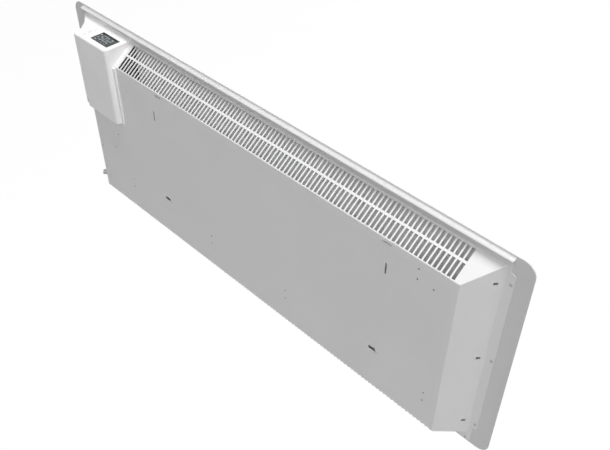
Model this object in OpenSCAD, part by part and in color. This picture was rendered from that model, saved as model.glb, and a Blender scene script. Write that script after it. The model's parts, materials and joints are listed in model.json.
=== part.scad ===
// Wall panel convector heater: a flat front panel, a pressed rear casing with a slotted top and bottom,
// a thermostat housing over one top corner, and a finned heating element with its wiring inside.
// The front faces -Y and +Z is up. Places are measured from the rear face's lower corner at the -X end;
// place() then puts the origin midway between the two hanging slots, on the rear face.

/* [Front panel] */
// Width of the front panel
panel_w = 917; // [900:1:1000]
// Height of the front panel
panel_h = 369.7; // [366:0.1:400]
// Thickness of the front panel
panel_t = 1.5; // [1:0.1:2]
// Radius of the front panel's corners
panel_corner_r = 19; // [5:1:35]
// How far the panel reaches below the casing's rear face
panel_below = 27.4; // [26:0.1:40]
// How far the folded ledge stays back from each end of the panel
ledge_inset = 28; // [25:1:60]
// How far the ledge lies below the panel's top edge
ledge_drop = 4; // [3.9:0.1:7]
// Depth of the ledge behind the panel
ledge_d = 7; // [6.9:0.1:8.5]
// Height of the lip that the ledge ends in
ledge_lip = 2.6; // [2.6:0.1:4.2]
// Outer radius of the ledge's bend
ledge_bend_r = 1.7; // [1.6:0.1:1.8]
// Radius of the hollow between the panel and the ledge
ledge_hollow_r = 3.5; // [2:0.1:3.8]

/* [Casing] */
// How far the panel reaches beyond the casing's rear face at each end
panel_side = 69.3; // [66:0.1:73]
// Height of the casing's rear face
casing_h = 295.1; // [292:0.1:298]
// Depth from the rear face to the front panel
casing_d = 40.7; // [39:0.1:46]
// Thickness of the casing's steel
sheet_t = 0.9; // [0.8:0.1:1.5]
// Outer radius of the casing's bends
bend_r = 2.2; // [1.8:0.1:3]
// How far each end spreads between the rear face and the panel
side_run = 34.7; // [30:0.1:38]
// How far the top rises between the rear face and the panel
top_rise = 29.3; // [28:0.1:31]
// How far the bottom drops between the rear face and the panel
bottom_drop = 7.9; // [5:0.1:10]
// Width of the flange beyond the casing's mouth at each end
flange_side = 5.3; // [4:0.1:7]
// Width of the flange below the casing's mouth
flange_bottom = 15; // [12:0.5:17]
// How far the flange's end tabs stand out from the flange
tab_out = 6.6; // [5:0.1:8]
// Height of each end tab
tab_h = 303.5; // [295:0.5:310]
// Height of the end tabs' lower edge
tab_z = 10; // [8:0.5:14]

/* [Grille and inlet] */
// Distance between neighbouring slots
slot_pitch = 7.05; // [6:0.05:9]
// Width of an outlet slot
slot_w = 4.7; // [4:0.1:4.8]
// Centre of the first outlet slot
outlet_first_x = 11.4; // [8:0.1:16]
// Least distance from the last outlet slot's centre to the housing
outlet_margin = 9.5; // [4:0.1:13]
// Length of the lower row's slots
outlet_low_l = 23.1; // [18:0.1:24]
// Length of the upper row's slots
outlet_high_l = 17.7; // [12:0.1:17.8]
// Plain strip below the lower row
outlet_edge = 1.7; // [1.5:0.1:2.2]
// Plain strip between the rows
outlet_rib = 3.5; // [3:0.1:4]
// Centre of the first inlet slot
inlet_first_x = 8; // [5:0.1:12]
// Least distance from the last inlet slot's centre to the casing's end
inlet_margin = 17; // [12:1:30]
// Width of an inlet slot
inlet_w = 4; // [3:0.1:4.6]
// Length of the inlet slots along the bottom
inlet_l = 30; // [20:1:32]
// Height of the notches that the inlet slots make in the rear face
inlet_notch = 2.8; // [1.5:0.1:3.5]

/* [Wall fixings] */
// Centre of the -X hanging slot
hang_x = 109.8; // [105:0.1:115]
// Distance between the two hanging slots
hang_spacing = 463.9; // [460:0.1:470]
// Height of the hanging slots
hang_z = 288.3; // [284:0.1:290]
// Length of a hanging slot
hang_l = 15.5; // [12:0.1:18]
// Width of a hanging slot
hang_w = 3.2; // [1.8:0.1:3.4]
// Distance of the -X upright slit from the -X hanging slot's centre
slit_dx1 = -1.6; // [-6:0.1:6]
// Distance of the +X upright slit from the +X hanging slot's centre
slit_dx2 = 15.8; // [12:0.1:18]
// Height of the upright slits' lower end
slit_z = 236; // [230:0.5:240]
// Width of the upright slits
slit_w = 2.9; // [2:0.1:3.2]
// Length of the upright slits
slit_l = 19.4; // [15:0.1:22]
// Distance of the hook openings from the hanging slots' centres
hook_dx = 8.3; // [6:0.1:10]
// Height of the hook openings' lower edge
hook_z = 76.6; // [74:0.1:80]
// Width of a hook opening
hook_w = 12.6; // [10:0.1:14]
// Height of a hook opening
hook_h = 6.4; // [5:0.1:8]
// Length of the tail beside each hook opening
hook_tail = 5; // [3:0.1:6]
// Height of the tail
hook_tail_h = 1.2; // [1:0.1:1.6]
// Depth of the tab bent inward above each hook opening
hook_tab = 4; // [3:0.1:5]

/* [Housing] */
// Width of the thermostat housing across its rear
housing_w = 88.5; // [86:0.1:92]
// Height of the housing
housing_h = 138.6; // [136:0.1:142]
// How far the housing stands out behind the rear face
housing_back = 10.7; // [9:0.1:14]
// How far the housing's end lies inside the end of the rear face
housing_inset = 1.9; // [1:0.1:3]
// Height of the housing's top above the rear face's top edge
housing_rise = 29.5; // [28.5:0.1:30]
// Thickness of the housing's walls
housing_t = 2; // [1.6:0.1:2.2]
// Radius of the housing's inner upright edge
housing_r = 7.5; // [3:0.1:8]
// Radius of the housing's other outer edges
housing_edge_r = 2.5; // [2.3:0.1:2.8]
// Radius of the hollow that leads the housing's top up to the panel
ramp_r = 11.4; // [9:0.1:11.4]
// Width of the lip that covers the casing's cut edge
lip_w = 6.4; // [4:0.1:7]
// Thickness of that lip
lip_t = 2.8; // [2:0.1:4]
// How far the skirt at the +X end spreads out to the flange
skirt_run = 41.8; // [40:0.1:42]

/* [Display and buttons] */
// Width of the display window
window_w = 45; // [42:0.5:46]
// Depth of the display window
window_d = 26.5; // [24:0.5:27]
// Thickness of the display window
window_t = 1.2; // [1:0.1:1.4]
// Distance of the window from the housing's -X wall
window_x = 10; // [9:0.5:11]
// Distance of the window from the housing's rear
window_y = 10.2; // [9:0.1:11]
// Thickness of the display panel under the window
display_t = 6.5; // [5.5:0.1:7]
// Radius of a button
button_r = 4; // [3:0.1:4.2]
// Distance between the buttons
button_pitch = 11.2; // [10.8:0.1:11.5]
// Distance of the buttons from the housing's +X wall
button_x = 17; // [16.5:0.1:17.5]
// Distance of the rear button from the housing's rear
button_y = 11; // [10.8:0.1:11.5]
// How far a button stands above the housing
button_proud = 0.6; // [0.5:0.1:1]
// How far a button can be pressed
button_travel = 0.5; // [0.3:0.1:0.5]

/* [Switch] */
// Width of the recess that the switch stands in
recess_w = 15.5; // [14:0.5:16.5]
// Height of the recess
recess_h = 20; // [19:0.5:22]
// Depth of the recess from the housing's rear
recess_d = 24.7; // [24.7:0.1:27]
// Width of the notch at the housing's lower rear corner, behind the recess
notch_w = 5.5; // [4.5:0.1:7]
// Height of that notch
notch_h = 5.7; // [4:0.1:7]
// Width of the groove that runs up from the notch
groove_w = 1.6; // [1:0.1:2]
// Length of the switch's frame
frame_l = 21; // [20.6:0.1:21.6]
// Height of the switch's frame
frame_h = 15; // [14.6:0.1:16]
// Thickness of the switch's frame
frame_t = 2; // [1.5:0.1:2.5]
// Length of the rocker
rocker_l = 13.2; // [12:0.1:13.6]
// Height of the rocker's ends above its pivot
rocker_top = 5.5; // [4.5:0.1:6]
// Tilt of the rocker to each side
rocker_tilt = 8; // [6:0.5:9]
// Radius of the rocker's pivot
pivot_r = 1.2; // [1:0.05:1.4]

/* [Cord gland] */
// Height of the gland on the casing's end
gland_z = 18; // [16:0.5:24]
// Distance of the gland's centre in front of the rear face
gland_y = 11; // [10.5:0.5:15]
// Radius of the gland's bore
gland_bore_r = 3.2; // [2.5:0.1:3.4]
// Radius of the gland's nose
gland_r = 4.75; // [4.6:0.05:5]
// Length of the gland's nose outside the casing
gland_nose = 11; // [5:0.5:12]

/* [Element] */
// Height of the element's axis
element_z = 57.65; // [55:0.05:62]
// Distance of the element's axis in front of the rear face
element_y = 21; // [20:0.1:22]
// Height of the finned section
fin_h = 50; // [40:1:54]
// Depth of the finned section
fin_d = 22; // [18:0.5:24]
// Thickness of a fin
fin_t = 1.6; // [1.2:0.1:2]
// Radius of the element's rod
rod_r = 4; // [3:0.1:4.5]
// Clear length between the finned section and each end support
fin_end_gap = 12; // [8:1:20]

/* [Supports and shield] */
// Centre of the end support's foot
support_x1 = 24; // [20:0.1:28]
// Centre of the second support's foot
support_x2 = 294.5; // [280:0.1:310]
// Centre of the third support's foot
support_x3 = 469.6; // [455:0.1:485]
// Height of the upper rivet of each support above the element's axis, and of the lower one below it
rivet_dz = 8.35; // [7:0.05:9]
// Width of a support's foot
foot_w = 12; // [10:0.5:14]
// Height of a support
support_h = 72; // [66:1:78]
// Thickness of the supports' steel
plate_t = 1; // [0.8:0.1:1.2]
// Distance of the divider from the housing
divider_gap = 9.5; // [8:0.1:10]
// Thickness of the heat shield
shield_t = 0.6; // [0.4:0.1:0.8]
// Distance between the heat shield and the front panel
shield_gap = 3.3; // [3:0.1:4]
// Height of the heat shield
shield_h = 285; // [260:1:288]

/* [Limiter] */
// Place of the overheat limiter along the casing
limiter_x = 59; // [56:0.1:64]
// Height of the limiter's upper rivet
limiter_z1 = 280.2; // [279:0.1:282]
// Height of the limiter's lower rivet
limiter_z2 = 262.5; // [261:0.1:263.5]
// Radius of the limiter's body
limiter_r = 6; // [5:0.1:6.2]
// Height of the limiter's body
limiter_h = 9.6; // [8:0.1:11]
// Place of the wire clip along the casing
clip_x = 33.8; // [32:0.1:36]
// Height of the wire clip
clip_z = 261.8; // [258:0.1:263]

/* [Electronics] */
// Width of the control board
board_w = 58; // [56:0.5:59]
// Height of the control board
board_h = 85; // [80:0.5:86]
// Thickness of the boards
board_t = 1.6; // [1.2:0.1:1.6]
// Distance of the control board in front of the rear face
board_y = 2; // [1:0.1:3]
// Height of the control board above the housing's bottom
board_z = 29; // [28:0.5:30]
// Width of the terminal block
block_w = 22; // [21:0.5:24]
// Height of the terminal block
block_h = 46.5; // [45:0.5:48]
// Depth of the terminal block
block_d = 15; // [12:0.5:16]
// Place of the terminal block's centre along the casing, from its +X end
block_x = 59.9; // [58:0.1:62]
// Height of the terminal block's centre
block_z = 132.4; // [131:0.1:134]
// Sideways distance between the terminal block's screws
block_screw_w = 15.8; // [15:0.1:16.5]
// Height between the terminal block's screws
block_screw_h = 35; // [34.5:0.1:36]
// Radius of a wire
wire_r = 1.3; // [1:0.1:1.4]

/* [Hidden] */

// Colours of the materials
steel_color = [0.86, 0.86, 0.86];
housing_color = [0.93, 0.93, 0.93];
zinc_color = [0.72, 0.73, 0.75];
board_color = [0.10, 0.36, 0.20];

$fn = 40;
// Overrun of a cut past the face that it leaves
cut = 1;
// Clearance of pieces that lie in or beside one another
gap = 0.3;
// Radial clearance of a shaft in its hole
run_gap = 0.05;
// Points on a small arc and on the panel's corners
arc_n = 5;
corner_n = 12;

// Places that several pieces share
cover_y = casing_d - sheet_t;
casing_w = panel_w - 2 * panel_side;
panel_x0 = -panel_side;
panel_z1 = panel_h - panel_below;
ledge_z = panel_z1 - ledge_drop;
mouth_x0 = -side_run;
mouth_x1 = casing_w + side_run;
flange_gap = 0.6;
tab_slant = 2;
flange_x0 = mouth_x0 - flange_side;
flange_x1 = mouth_x1 + flange_side;
flange_z0 = -bottom_drop - flange_bottom;
flange_z1 = ledge_z - panel_t - flange_gap;
top_a = atan2(top_rise, casing_d);
side_a = atan2(casing_d, side_run);
housing_x1 = casing_w - housing_inset;
housing_x0 = housing_x1 - housing_w;
housing_z1 = casing_h + housing_rise;
housing_z0 = housing_z1 - housing_h;
inner_top_z = housing_z1 - housing_t;
outlet_n = floor((housing_x0 - outlet_margin - outlet_first_x) / slot_pitch) + 1;
inlet_n = floor((casing_w - inlet_margin - inlet_first_x) / slot_pitch) + 1;
divider_x = housing_x0 - divider_gap - plate_t;
origin_x = hang_x + hang_spacing / 2;

// Places of the upright slits, each from its hanging slot
slit_dx = [slit_dx1, slit_dx2];

// Studs that hold the casing's flange to the panel
stud_r = 1.6;
stud_head_r = 2.4;
stud_head_t = 0.6;
stud_edge = 3.8;
stud_low_edge = 2.4;
stud_in = 7.5;
stud_rise = 139.5;
stud_drop = 3.6;
tab_mid_z = tab_z + tab_h / 2 - stud_drop;
stud_places = [
    for (x = [flange_x0 - tab_out + stud_edge, flange_x1 + tab_out - stud_edge], k = [-1, 0, 1])
        [x, tab_mid_z + k * stud_rise],
    for (x = [flange_x0 + stud_in, casing_w / 2, flange_x1 - stud_in]) [x, flange_z0 + stud_low_edge]];

// Rivets and screws through the rear face
rivet_r = 1.5;
rivet_back = 0.5;
rivet_head_r = 2.6;
rivet_head_t = 0.8;
divider_foot_gap = 3.8;
support_feet = [support_x1, support_x2, support_x3, housing_x0 - divider_foot_gap];

// Small slots near the flange in the casing's ends
end_slot_l = 5.6;
end_slot_w = 4.4;
end_slot_y = 32.4;
end_slot_zs = [for (share = [0.0733, 0.5343, 0.9959]) casing_h * share];

// Cord tie slit low on the rear face, at the +X end
tie_slit_l = 7.7;
tie_slit_w = 1.4;
tie_slit_z = 29;
tie_slit_in = 13.1;

// Earth studs near the +X end
earth_in = 6;
earth_zs = [48.4, 96.1];
earth_r = 1.5;
earth_nut_r = 3.2;
earth_nut_t = 3;

// Display and button seats
window_ledge = 1;
window_x0 = housing_x0 + window_x;
window_y1 = housing_back - window_y;
display_margin = 1.5;
display_board_z = inner_top_z - display_t - board_t;
display_board_in = 2;
display_board_x1 = 2.5;
display_board_d = 38.5;
display_board_back = 1.2;
button_cx = housing_x1 - button_x;
button_cy = housing_back - button_y;
button_flange_r = 5.1;
button_flange_t = 1;
button_under = 0.1;
button_stem_r = 1.5;
tact_w = 6;
tact_h = 3.5;
tact_cap_r = 1.7;
tact_cap_h = 0.8;
hang_boss_r = 2.4;
hang_boss_dx = 9.7;
hang_boss_y0 = 28;
hang_boss_y1 = 4.4;
small_screw_r = 1;
small_head_r = 1.9;
small_head_t = 1.2;

// Switch seats
recess_x = housing_x1 - recess_w;
recess_z1 = housing_z0 + recess_h;
recess_y0 = housing_back - recess_d;
switch_y = housing_back - (recess_d + housing_t) / 2;
switch_z = housing_z0 + recess_h / 2;
switch_l = 18.6;
switch_h = 12.4;
switch_d = 14;
switch_wall = 1.2;
pivot_x = recess_x + frame_t / 2;
rocker_h = switch_h - 2 * switch_wall - gap;
rocker_dish = 1.3;
rocker_foot = 3;
blade_t = 0.8;
blade_w = 4.8;
blade_l = 7;
blade_dy = 5;

// Control board seats
board_in = 9;
board_x0 = housing_x0 + housing_t + board_in;
board_z0 = housing_z0 + board_z;
board_boss_r = 3;
board_boss_in = 4;
board_front = board_y + board_t;
post_r = 3.5;
post_in = 6;
post_foot = 8;
post_top = 16.6;
post_gap = 4.7;
post_end = casing_d - post_gap;
housing_cover_t = 1.5;
entry_n = 5;
entry_pitch = 5;
entry_in = 10;
entry_x0 = board_x0 + entry_in;
entry_r = 1.6;
entry_depth = 2;
connector_h = 12;
connector_d = 12.4;
connector_edge = 3;
wire_y = 9;
relay_at = [6, 45];
relay_size = [19, 15.5, 15.5];
core_at = [29, 44];
core_size = [24, 28, 18];
coil_at = [33, 46];
coil_size = [16, 24, 3];
capacitor_at = [42, 30];
capacitor_r = 5;
capacitor_h = 16;
ribbon_at = 22;
ribbon_w = 12;
ribbon_t = 0.8;
ribbon_lap = 6;
sensor_in = 17;
sensor_y = 2;
sensor_r = 2.5;
sensor_h = 12;
window_front = 36;
window_rear = 4;
window_in = 5;
window_len = 55;

// Terminal block seats
block_cx = casing_w - block_x;
pole_pitch = 11;
block_poles = [for (k = [-1:1]) block_z + k * pole_pitch];
pole_r = 2.4;
pole_dx = 5.5;
pole_screw_r = 1.25;
pole_head_r = 1.8;
pole_head_t = 1;
pole_well_r = 1.9;
insert_in = 2;

// Gland seats
gland_shank_r = 4.4;
gland_flange_r = 6;
gland_flange_t = 1.5;
gland_inside = 9;
gland_nut_r = 7;
gland_nut_t = 4;
gland_x = casing_w + side_run * gland_y / casing_d;

// Element seats
fin_core_r = rod_r + 2.2;
fin_spread = 17;
bush_r = 9;
bush_neck_r = 6.8;
bush_flange_t = 2.5;
rod_end = 10;
seal_l = 4;
seal_r = 3.4;
pin_r = 1.6;
pin_l = 12;
element_x0 = support_x1 + foot_w / 2;
fins_x0 = element_x0 + fin_end_gap;
fins_x1 = divider_x - fin_end_gap;
rod_x0 = element_x0 - rod_end - plate_t;
rod_x1 = divider_x + plate_t + rod_end;

// Shield seats
shield_y = casing_d - shield_gap - shield_t;
shield_z0 = 2;
shield_x0 = 8;
shield_x1_gap = 4;
front_foot_w = 10;
front_foot_h = 12;

// Limiter and clip seats
limiter_zm = (limiter_z1 + limiter_z2) / 2;
limiter_plate_w = 12;
limiter_plate_edge = 4;
limiter_blade_l = 14;
return_z = 170;
return_y = 6;
grommet_r = 4;
grommet_t = 1.5;
clip_w = 8;
clip_t = 1;
clip_wire_y = sheet_t + clip_t + wire_r + gap;

// Lanes and turns of the wires
lane_step = 5;
wire_turn = 9;
live_step = 6;
live_turn = 21;
earth_step = 10;
pin_turn = 6;
rise_z = 199;
clip_rise = 26;
clip_over = 6.4;
return_step = 10;
return_drop = 30;

// Turns a corner into arc points; works in the plane and in space
function arc_at(a, p, b, r, n) =
    let (u = (a - p) / norm(a - p), v = (b - p) / norm(b - p), half = acos(u * v) / 2,
         c = p + (u + v) / norm(u + v) * r / sin(half), sweep = 180 - 2 * half,
         p0 = p + u * r / tan(half) - c, p1 = p + v * r / tan(half) - c)
    [for (i = [0:n]) c + p0 * sin(sweep * (1 - i / n)) / sin(sweep) + p1 * sin(sweep * i / n) / sin(sweep)];

// A closed outline whose corners have the radii given, zero for a sharp one
function rounded(pts, radii, n = arc_n) =
    let (m = len(pts))
    [for (i = [0:m - 1]) each radii[i] > 0
        ? arc_at(pts[(i + m - 1) % m], pts[i], pts[(i + 1) % m], radii[i], n) : [pts[i]]];

// A route whose inner corners are bent to radius r
function route(pts, r, n = 4) =
    let (m = len(pts))
    [for (i = [0:m - 1]) each i == 0 || i == m - 1 ? [pts[i]] : arc_at(pts[i - 1], pts[i], pts[i + 1], r, n)];

// Sloped sides of the casing: the coordinate of a side at a depth, drawn in by the sheet's thickness
function sloped(run, depth, inset) = run * depth / casing_d - inset * sqrt(1 + pow(run / casing_d, 2));

// Outline of the casing across one direction, as seen along the other
function tub(size, run_lo, run_hi, inset, depth) =
    rounded([[-sloped(run_lo, depth, inset), -depth], [-sloped(run_lo, inset, inset), -inset],
             [size + sloped(run_hi, inset, inset), -inset], [size + sloped(run_hi, depth, inset), -depth]],
            [0, bend_r - inset, bend_r - inset, 0]);

// Share of the skirt's run at each share of its depth, with how far a wall's thickness moves it
skirt_shares = [[0.353, 0.103, 1.2], [0.66, 0.425, 1.55], [1, 1, 1.77]];

// Outline of the housing seen from above, drawn in by the wall's thickness
function housing_plan(inset, front) =
    let (depth = housing_back + cover_y, over = front - cover_y)
    rounded([[housing_x0 + inset, -front], [housing_x0 + inset, housing_back - inset],
             [housing_x1 - inset, housing_back - inset],
             for (s = skirt_shares) [housing_x1 + s[1] * skirt_run - s[2] * inset,
                                     housing_back - s[0] * depth - (s[0] == 1 ? over : 0)]],
            [0, housing_r - inset, housing_edge_r - inset, for (s = skirt_shares) 0]);

// Outline of the housing seen from its end, with the hollow that leads up to the panel
function housing_side(inset, front) =
    let (c = [ramp_r - cover_y, housing_z1 + ramp_r], r = ramp_r + inset, over = front - cover_y,
         last = acos(min(1, ramp_r / r)))
    [[-front, housing_z0 + inset], [housing_back - inset, housing_z0 + inset],
     each arc_at([housing_back - inset, housing_z0], [housing_back - inset, housing_z1 - inset],
                 [c[0], housing_z1 - inset], housing_edge_r - inset, arc_n),
     for (i = [0:arc_n]) let (a = 270 - (90 - last) * i / arc_n) c + r * [cos(a), sin(a)],
     if (over > 0) [-front, c[1] - r * sin(last)]];

module place() {
    translate([-origin_x, 0, -hang_z]) children();
}

// A plate in the XZ plane from an outline, from depth y0 forward to depth y1
module plate_xz(y0, y1) {
    translate([0, -y0, 0]) rotate([90, 0, 0]) linear_extrude(y1 - y0) children();
}

// A shape drawn in the YZ plane, from x0 to x1
module plate_yz(x0, x1) {
    translate([x0, 0, 0]) rotate([90, 0, 90]) linear_extrude(x1 - x0) children();
}

// A round pin or hole along Y, from depth y0 forward to depth y1
module pin_y(x, z, r, y0, y1) {
    translate([x, -y0, z]) rotate([90, 0, 0]) cylinder(r = r, h = y1 - y0);
}

// A round pin or hole along X
module pin_x(y, z, r, x0, x1) {
    translate([x0, -y, z]) rotate([0, 90, 0]) cylinder(r = r, h = x1 - x0);
}

// A box given by its low and high corners, with depths counted forward from the rear face
module block(x0, x1, y0, y1, z0, z1) {
    translate([x0, -y1, z0]) cube([x1 - x0, y1 - y0, z1 - z0]);
}

// A round tube along a route
module tube(path, r, sides = 8) {
    m = len(path);
    dirs = [for (i = [0:m - 1]) let (d = path[min(i + 1, m - 1)] - path[max(i - 1, 0)]) d / norm(d)];
    up = [0.31, 0.83, 0.46];
    rings = [for (i = [0:m - 1], k = [0:sides - 1])
        let (e = cross(dirs[i], up), e1 = e / norm(e), e2 = cross(dirs[i], e1), a = 360 * k / sides)
        path[i] + r * (e1 * cos(a) + e2 * sin(a))];
    walls = [for (i = [0:m - 2], k = [0:sides - 1])
        let (a = i * sides + k, b = i * sides + (k + 1) % sides) [a, a + sides, b + sides, b]];
    polyhedron(rings, concat([[for (k = [0:sides - 1]) k]], walls,
                             [[for (k = [sides - 1:-1:0]) (m - 1) * sides + k]]));
}

// A slot with round ends along X, cut through the rear face
module round_slot(x, z, l, w) {
    for (s = [-1, 1]) pin_y(x + s * (l - w) / 2, z, w / 2, -cut, sheet_t + cut);
    block(x - (l - w) / 2, x + (l - w) / 2, -cut, sheet_t + cut, z - w / 2, z + w / 2);
}

module front_panel() {
    panel_xs = [panel_x0, panel_x0 + panel_w];
    ledge_y0 = casing_d - ledge_d;
    color(steel_color) place() union() {
        plate_xz(casing_d, casing_d + panel_t)
            polygon(rounded([[panel_xs[0], -panel_below], [panel_xs[1], -panel_below],
                             [panel_xs[1], panel_z1], [panel_xs[0], panel_z1]],
                            [for (i = [0:3]) panel_corner_r], corner_n));
        plate_yz(panel_xs[0] + ledge_inset, panel_xs[1] - ledge_inset)
            polygon(concat([[-casing_d - panel_t / 2, ledge_z - panel_t],
                            [-casing_d - panel_t / 2, ledge_z + ledge_hollow_r]],
                arc_at([-casing_d, panel_z1], [-casing_d, ledge_z], [-ledge_y0, ledge_z],
                       ledge_hollow_r, arc_n),
                arc_at([-casing_d, ledge_z], [-ledge_y0, ledge_z], [-ledge_y0, 0], ledge_bend_r, arc_n),
                [[-ledge_y0, ledge_z - ledge_lip], [-ledge_y0 - panel_t, ledge_z - ledge_lip]],
                arc_at([-ledge_y0 - panel_t, 0], [-ledge_y0 - panel_t, ledge_z - panel_t],
                       [-casing_d, ledge_z - panel_t], ledge_bend_r - panel_t, arc_n)));
    }
}

// The casing's solid shape, drawn in by a thickness and ending at a depth
module tub_shape(inset, depth) {
    intersection() {
        translate([0, 0, -casing_h]) linear_extrude(3 * casing_h)
            polygon(tub(casing_w, side_run, side_run, inset, depth));
        plate_yz(-casing_w, 2 * casing_w)
            polygon([for (p = tub(casing_h, bottom_drop, top_rise, inset, depth)) [p[1], p[0]]]);
    }
}

module flange_outline() {
    half = [[0, flange_z0], [0, tab_z - tab_slant], [tab_out, tab_z], [tab_out, tab_z + tab_h],
            [0, tab_z + tab_h + tab_slant], [0, flange_z1]];
    polygon(concat([for (p = half) [flange_x1 + p[0], p[1]]],
                   [for (i = [len(half) - 1:-1:0]) [flange_x0 - half[i][0], half[i][1]]]));
}

// All outlet slots in the sloped top
module outlet_slots() {
    high_s = outlet_edge + outlet_low_l + outlet_rib;
    translate([0, 0, casing_h]) rotate([180 - top_a, 0, 0])
        for (i = [0:outlet_n - 1], row = [[outlet_edge, outlet_low_l], [high_s, outlet_high_l]])
            translate([outlet_first_x + i * slot_pitch - slot_w / 2, row[0], -cut])
                cube([slot_w, row[1], sheet_t + 2 * cut]);
}

// All inlet slots, which run through the bend at the foot of the rear face
module inlet_slots() {
    for (i = [0:inlet_n - 1]) translate([inlet_first_x + i * slot_pitch - inlet_w / 2, 0, 0])
        block(0, inlet_w, -cut, inlet_l, -bottom_drop - cut, inlet_notch);
}

// Small slots in the casing's ends, near the flange
module end_slots() {
    for (s = [0, 1], z = end_slot_zs)
        translate([s == 0 ? 0 : casing_w, 0, z]) mirror([s, 0, 0]) rotate([0, 0, -180 + side_a])
            translate([end_slot_y / sin(side_a) - end_slot_l / 2, -cut - sheet_t, -end_slot_w / 2])
                cube([end_slot_l, 2 * (sheet_t + cut), end_slot_w]);
}

// Openings in the rear face where it hangs on the wall
module wall_openings() {
    for (i = [0, 1]) translate([hang_x + i * hang_spacing, 0, 0]) {
        round_slot(0, hang_z, hang_l, hang_w);
        block(slit_dx[i] - slit_w / 2, slit_dx[i] + slit_w / 2, -cut, sheet_t + cut, slit_z, slit_z + slit_l);
        block(hook_dx - hook_w / 2, hook_dx + hook_w / 2, -cut, sheet_t + cut, hook_z, hook_z + hook_h);
        block(hook_dx - hook_w / 2 - hook_tail, hook_dx, -cut, sheet_t + cut, hook_z, hook_z + hook_tail_h);
    }
}

// Holes for rivets and screws in the rear face
module rear_holes() {
    for (x = support_feet, s = [-1, 1])
        pin_y(x, element_z + s * rivet_dz, rivet_r + run_gap, -cut, sheet_t + cut);
    for (z = [limiter_z1, limiter_z2]) pin_y(limiter_x, z, rivet_r + run_gap, -cut, sheet_t + cut);
    pin_y(clip_x, clip_z, rivet_r + run_gap, -cut, sheet_t + cut);
    for (s = [-1, 1])
        pin_y(casing_w - block_x + s * block_screw_w / 2, block_z - s * block_screw_h / 2,
              rivet_r + run_gap, -cut, sheet_t + cut);
    for (z = earth_zs) pin_y(casing_w - earth_in, z, earth_r + run_gap, -cut, sheet_t + cut);
    block(casing_w - tie_slit_in - tie_slit_l / 2, casing_w - tie_slit_in + tie_slit_l / 2,
          -cut, sheet_t + cut, tie_slit_z - tie_slit_w / 2, tie_slit_z + tie_slit_w / 2);
}

// Puts children on the gland's axis, with +X pointing out of the casing
module on_gland() {
    translate([gland_x, -gland_y, gland_z]) rotate([0, 0, 90 - side_a]) rotate([0, 90, 0]) children();
}

module rear_casing() {
    color(steel_color) place() difference() {
        union() {
            difference() {
                union() {
                    tub_shape(0, casing_d);
                    plate_xz(cover_y, casing_d) flange_outline();
                }
                tub_shape(sheet_t, casing_d + cut);
                translate([housing_x0 - gap, -cover_y, housing_z0 - gap])
                    cube([casing_w, casing_d, casing_h]);
            }
            for (i = [0, 1]) translate([hang_x + i * hang_spacing + hook_dx, 0, 0])
                block(-hook_w / 2, hook_w / 2, sheet_t / 2, sheet_t + hook_tab,
                      hook_z + hook_h, hook_z + hook_h + sheet_t);
        }
        outlet_slots();
        inlet_slots();
        end_slots();
        wall_openings();
        rear_holes();
        for (p = stud_places) pin_y(p[0], p[1], stud_r + run_gap, cover_y - cut, casing_d + cut);
        on_gland() translate([0, 0, -2 * sheet_t]) cylinder(r = gland_shank_r + run_gap, h = 4 * sheet_t);
    }
}

module panel_studs() {
    color(zinc_color) place() for (p = stud_places) {
        pin_y(p[0], p[1], stud_r, cover_y - stud_head_t, casing_d);
        pin_y(p[0], p[1], stud_head_r, cover_y - stud_head_t, cover_y);
    }
}

// Solid shape of the housing, drawn in by a wall and ending at a depth
module housing_shape(inset, front) {
    intersection() {
        linear_extrude(2 * housing_z1) polygon(housing_plan(inset, front));
        plate_yz(housing_x0 - housing_w, housing_x1 + housing_w) polygon(housing_side(inset, front));
    }
}

// The recess for the switch, grown by the wall's thickness
module recess(grow) {
    block(recess_x - grow, housing_x1 + skirt_run, -housing_back + housing_t - grow, -recess_y0 + grow,
          housing_z0 - cut, recess_z1 + grow);
}

// The notch in the rear wall behind the recess, and the groove that runs up from it
module rear_notch() {
    y1 = -housing_back + housing_t + cut;
    block(housing_x1 - notch_w, housing_x1 + cut, -housing_back - cut, y1,
          housing_z0 - cut, housing_z0 + notch_h);
    block(housing_x1 - notch_w, housing_x1 - notch_w + groove_w, -housing_back - cut, y1,
          housing_z0, recess_z1);
}

// Places of the housing's posts, as X and Z
post_places = [[housing_x0 + post_in, housing_z0 + post_foot], [housing_x0 + post_in, housing_z1 - post_top],
               [housing_x1 - housing_t - post_r, recess_z1 + post_foot],
               [housing_x1 - housing_t - post_r, housing_z1 - post_top]];
board_holes = [for (x = [board_x0 + board_boss_in, board_x0 + board_w - board_boss_in],
                    z = [board_z0 + board_boss_in, board_z0 + board_h - board_boss_in]) [x, z]];
button_places = [for (k = [0:2]) [button_cx, button_cy - k * button_pitch]];
hang_bosses = [for (x = [button_cx - hang_boss_dx, button_cx + hang_boss_dx],
                    y = [-hang_boss_y0, hang_boss_y1]) [x, y]];

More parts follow.
